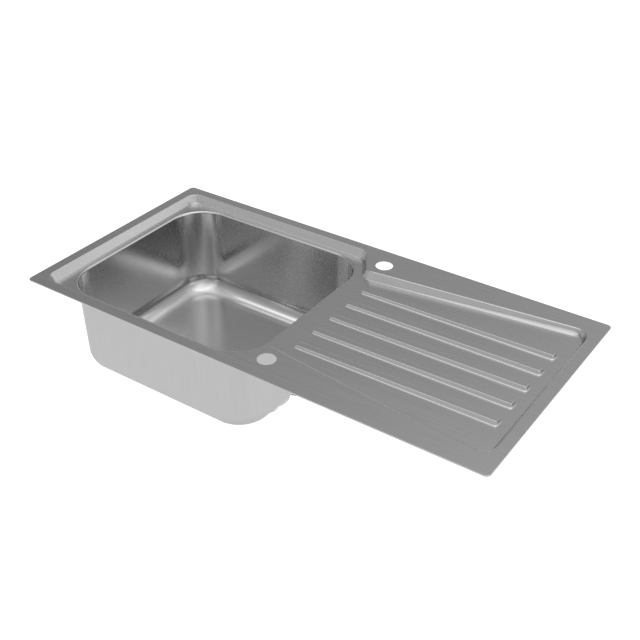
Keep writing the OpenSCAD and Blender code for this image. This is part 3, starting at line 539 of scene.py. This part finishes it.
def bitumen(tree):
    """Black felt with shallow dents and grit."""
    hammer = node(tree, "ShaderNodeTexVoronoi", {"feature": "SMOOTH_F1"},
                  {"Vector": spot(tree, 170, 170, 170), "Scale": 1.0, "Smoothness": 0.6})
    grit = cloud(tree, 1500, 1500, 1500)
    return {"Base Color": between(tree, grit.ramp(0.35, 0.7), (0.060, 0.062, 0.064), (0.115, 0.117, 0.12)),
            "Roughness": 0.62 + 0.2 * grit, "Normal": relief(tree, hammer + 0.15 * grit, 0.8 * mm)}


dress("sound_pad", surface("bitumen_felt", bitumen))

# Strainer. The flange and its cup are pressed from stainless sheet and polished, and the basket
# with its knob lifts out of it. The stopper under the basket, and the ring under the flange, are
# black rubber.


def polished(tree):
    """Bright steel with a slight haze and fine scratches."""
    haze = cloud(tree, 260, 260, 260)
    scratch = cloud(tree, 90, 1400, 700, 2.0)
    return {"Base Color": between(tree, haze.ramp(0.3, 0.7), (0.63, 0.63, 0.625), (0.69, 0.69, 0.685)),
            "Metallic": 1.0, "Roughness": 0.09 + 0.1 * scratch, "Normal": relief(tree, scratch, 0.002 * mm)}


def black_rubber(tree):
    """Moulded rubber with a grey bloom."""
    bloom = cloud(tree, 120, 120, 120)
    grit = cloud(tree, 2400, 2400, 2400)
    return {"Base Color": between(tree, bloom.ramp(0.35, 0.7), (0.018, 0.018, 0.018), (0.036, 0.036, 0.037)),
            "Roughness": 0.55 + 0.2 * bloom, "Normal": relief(tree, grit, 0.05 * mm)}


polished_steel = surface("polished_stainless", polished)
rubber = surface("black_rubber", black_rubber)
for name in ("strainer_flange", "strainer_basket", "basket_knob"):
    dress(name, polished_steel)
for name in ("flange_seal", "basket_stopper"):
    dress(name, rubber)

# Waste. A white polypropylene body moulded in one piece, pulled up against the bowl by a long
# stainless screw, on a thick rubber ring.


def white_moulding(tree):
    """White plastic with cloudy flow marks and the mould's fine spark-cut grain."""
    flow = cloud(tree, 45, 45, 45, 2.0)
    spark = cloud(tree, 3000, 3000, 3000)
    return {"Base Color": between(tree, flow.ramp(0.3, 0.7), (0.77, 0.77, 0.75), (0.83, 0.83, 0.815)),
            "Roughness": 0.36 + 0.14 * spark, "Normal": relief(tree, spark, 0.03 * mm)}


def turned(tree):
    """Steel off a lathe, with fine lines across its axis."""
    cut = cloud(tree, 60, 60, 2600, 2.0)
    return {"Base Color": between(tree, cut.ramp(0.35, 0.65), (0.56, 0.56, 0.555), (0.66, 0.66, 0.655)),
            "Metallic": 1.0, "Roughness": 0.2 + 0.12 * cut, "Normal": relief(tree, cut, 0.01 * mm)}


white_plastic = surface("white_polypropylene", white_moulding)
turned_steel = surface("turned_stainless", turned)
dress("waste_body", white_plastic)
dress("waste_screw", turned_steel)
dress("waste_seal", rubber)

# Overflow. A polished cover inside the bowl is held by a screw to a white plastic cup behind the
# wall, with a rubber ring between the cup and the steel.
dress("overflow_cover", polished_steel)
dress("overflow_screw", turned_steel)
dress("overflow_body", white_plastic)
dress("overflow_seal", rubber)

# Overflow hose. Blow-moulded polyethylene with plain cuffs and round ribs between them. It slips
# over the overflow's spout and the waste's inlet, and hangs between them in one bend.
hose_top, bend_from = Vector((21.6626, 62, -84.4029)), Vector((19.1482, 62, -180.425))
bend_to, hose_low = Vector((-34.3623, 35.814, -242.3)), Vector((-57.0634, 25.3421, -242.3))
hose_r, hose_bore_r, hose_rib, bend_pull = 12.5, 9.5, 1.6, 34.0134
hose_cuff, hose_ribs, rib_levels, hose_sides = 25.0, 34, 8, 28
down, back = (bend_from - hose_top).normalized(), (bend_to - hose_low).normalized()
route = [hose_top, bend_from]
for k in range(1, 81):
    t = k / 80
    route.append(bend_from * (1 - t) ** 3 + (bend_from + down * bend_pull) * 3 * t * (1 - t) ** 2
                 + (bend_to + back * bend_pull) * 3 * t * t * (1 - t) + bend_to * t ** 3)
route.append(hose_low)
travelled = [0.0]
for a, b in zip(route, route[1:]):
    travelled.append(travelled[-1] + (b - a).length)
hose_length = travelled[-1]


def on_route(s):
    """The point of the hose's middle line s along it."""
    k = max(j for j in range(len(route) - 1) if travelled[j] <= s or j == 0)
    return route[k].lerp(route[k + 1], (s - travelled[k]) / (travelled[k + 1] - travelled[k]))


def hose_ring(s, r):
    """A ring round the hose's middle line, s along it."""
    ahead = (on_route(min(hose_length, s + 1.5)) - on_route(max(0, s - 1.5))).normalized()
    u = ahead.cross(down.cross(back)).normalized()
    v = ahead.cross(u)
    angles = [2 * math.pi * k / hose_sides for k in range(hose_sides)]
    return [on_route(s) + (u * math.cos(a) + v * math.sin(a)) * r for a in angles]


# The hose's rings: the outside from end to end, then the bore back again.
cuff = [(0, 0.5), (0.5, 0.15), (1.2, 0), (12, 0), (hose_cuff - 0.6, 0), (hose_cuff, 0.3)]
rib_pitch = (hose_length - 2 * hose_cuff) / hose_ribs
rings = [hose_ring(s, hose_r - r) for s, r in cuff]
for k in range(hose_ribs):
    for part in range(rib_levels):
        share = (part + 0.5) / rib_levels
        wave = (0.5 - 0.5 * math.sin(2 * math.pi * share)) ** 0.7
        rings.append(hose_ring(hose_cuff + (k + share) * rib_pitch, hose_r - hose_rib * (1 - wave)))
rings += [hose_ring(hose_length - s, hose_r - r) for s, r in reversed(cuff)]
rings += [hose_ring(hose_length * k / 48, hose_bore_r) for k in range(48, -1, -1)]
faces = []
for j in range(len(rings)):
    a, b = j * hose_sides, (j + 1) % len(rings) * hose_sides
    for k in range(hose_sides):
        after = (k + 1) % hose_sides
        faces.append((a + k, b + k, b + after, a + after))
hose_mesh = bpy.data.meshes.new("ribbed_hose")
hose_mesh.from_pydata([p * mm for ring in rings for p in ring], [], faces)
hose_mesh.validate()
hose_mesh.shade_smooth()
hose = placed("ribbed_hose", hose_mesh)


def blown(tree):
    """Milky polyethylene that lets a little light in."""
    milk = cloud(tree, 70, 70, 70, 2.0)
    skin = cloud(tree, 1400, 1400, 1400)
    return {"Base Color": between(tree, milk.ramp(0.3, 0.7), (0.66, 0.66, 0.645), (0.74, 0.74, 0.73)),
            "Roughness": 0.34 + 0.14 * skin, "Normal": relief(tree, skin, 0.03 * mm),
            "Subsurface Weight": 0.15, "Subsurface Radius": (0.004, 0.004, 0.0035)}


hose_mesh.materials.append(surface("blown_polyethylene", blown))
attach(hose, "sink")
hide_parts("overflow_hose")

# Hose nuts. Moulded in light grey polypropylene, with grips round them. One is screwed down over
# each end of the hose.


def grey_moulding(tree):
    """Grey plastic with cloudy flow marks and a fine grain."""
    flow = cloud(tree, 60, 60, 60, 2.0)
    spark = cloud(tree, 2600, 2600, 2600)
    return {"Base Color": between(tree, flow.ramp(0.3, 0.7), (0.45, 0.455, 0.46), (0.52, 0.525, 0.53)),
            "Roughness": 0.42 + 0.14 * spark, "Normal": relief(tree, spark, 0.04 * mm)}


dress("hose_nuts", surface("grey_polypropylene", grey_moulding))

# Clamps. Eight of them hold the rim down: a stainless bracket spot-welded under the sheet, a
# riveted pivot, and a frame, screw and claw that are stamped or turned and then zinc-plated.


def zinc(tree):
    """Bright zinc plate with a faint spangle."""
    spangle = node(tree, "ShaderNodeTexVoronoi", sockets={"Vector": spot(tree, 420, 420, 420), "Scale": 1.0})
    bloom = cloud(tree, 90, 90, 90)
    return {"Base Color": between(tree, spangle.ramp(0.1, 0.7), (0.60, 0.62, 0.65), (0.70, 0.715, 0.735)),
            "Metallic": 1.0, "Roughness": 0.26 + 0.16 * bloom, "Normal": relief(tree, bloom, 0.02 * mm)}


zinc_plate = surface("bright_zinc_plate", zinc)
dress("clamp_brackets", back_steel)
dress("clamp_pivots", zinc_plate)
for number in range(1, 9):
    for part in ("frame", "claw"):
        dress(f"clamp_{part}_{number}", zinc_plate)

# Clamp screws. Each has a slotted head below the frame, a collar that rests on it and a coarse
# thread up to the pivot. All eight are one turned piece, set in eight places.
head_low, head_high, collar_low, collar_high, screw_high = -46.2, -43.2, -41.4, -40.4, -20.1
head_r, collar_r, crest, root, pitch, tip_r = 4.5, 4.0, 3.0, 2.55, 1.0, 2.3
screw_sides, turn_levels, fade_levels = 20, 8, 6
slot_w, slot_deep, slot_reach = 1.2, 1.3, 7.0
thread_low, thread_levels = collar_high + 0.3, int((screw_high - collar_high - 1.0) / pitch * turn_levels)


def screw_ring(z, radii):
    """A ring of the screw at one height, with a radius for each of its sides."""
    angles = [2 * math.pi * k / screw_sides for k in range(screw_sides)]
    return [(r * math.cos(a), r * math.sin(a), z) for r, a in zip(radii, angles)]


def thread_radii(z, cut_in):
    """The radii round the thread at one height, where it is cut to a share of its full depth."""
    phases = [(z / pitch - k / screw_sides) % 1 for k in range(screw_sides)]
    return [crest - (crest - root) * cut_in * (1 - abs(2 * phase - 1)) for phase in phases]


verts = []
for z, r in [(head_low, 4.1), (head_low + 0.4, head_r), (head_high - 0.3, head_r), (head_high, 4.2),
             (head_high, crest), (collar_low, crest), (collar_low, collar_r), (collar_high, collar_r),
             (collar_high, crest)]:
    verts += screw_ring(z, [r] * screw_sides)
for j in range(thread_levels + 1):
    z = thread_low + j * pitch / turn_levels
    verts += screw_ring(z, thread_radii(z, min(1, j / fade_levels, (thread_levels - j) / fade_levels)))
verts += screw_ring(screw_high, [tip_r] * screw_sides)
levels = len(verts) // screw_sides
faces = []
for j in range(levels - 1):
    a, b = j * screw_sides, (j + 1) * screw_sides
    for k in range(screw_sides):
        after = (k + 1) % screw_sides
        faces.append((a + k, a + after, b + after, b + k))
faces.append(tuple(reversed(range(screw_sides))))
faces.append(tuple(range((levels - 1) * screw_sides, levels * screw_sides)))
blank_mesh = bpy.data.meshes.new("clamp_screw_blank")
blank_mesh.from_pydata([(x * mm, y * mm, z * mm) for x, y, z in verts], [], faces)
blank = placed("clamp_screw_blank", blank_mesh)
blade_mesh = bpy.data.meshes.new("screw_slot")
blade_mesh.from_pydata([(x * slot_reach * mm, y * slot_w / 2 * mm, (head_low + z * slot_deep) * mm)
                        for z in (-1, 1) for x, y in ((-1, -1), (1, -1), (1, 1), (-1, 1))], [],
                       [(3, 2, 1, 0), (4, 5, 6, 7), (0, 1, 5, 4), (1, 2, 6, 5), (2, 3, 7, 6), (3, 0, 4, 7)])
blade = placed("screw_slot", blade_mesh)
cut = blank.modifiers.new("slot", "BOOLEAN")
cut.operation, cut.object, cut.solver = "DIFFERENCE", blade, "EXACT"
screw_mesh = bpy.data.meshes.new_from_object(blank.evaluated_get(bpy.context.evaluated_depsgraph_get()))
screw_mesh.name = "clamp_screw"
bpy.data.objects.remove(blank)
bpy.data.objects.remove(blade)
screw_mesh.materials.clear()
screw_mesh.materials.append(zinc_plate)
side_clamp_y, end_clamp_y = 190.111, 120
places = [(90, -side_clamp_y, 0), (230, -side_clamp_y, 0), (90, side_clamp_y, 0), (230, side_clamp_y, 0),
          (-468, -end_clamp_y, 90), (-468, end_clamp_y, -90), (462, -end_clamp_y, 90), (462, end_clamp_y, -90)]
for number, (x, y, turn) in enumerate(places, 1):
    screw = placed(f"threaded_screw_{number}", screw_mesh)
    screw.location = (x * mm, y * mm, 0)
    screw.rotation_euler = (0, 0, math.radians(turn))
    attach(screw, f"clamp_screw_{number}")
    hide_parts(f"clamp_screw_{number}")
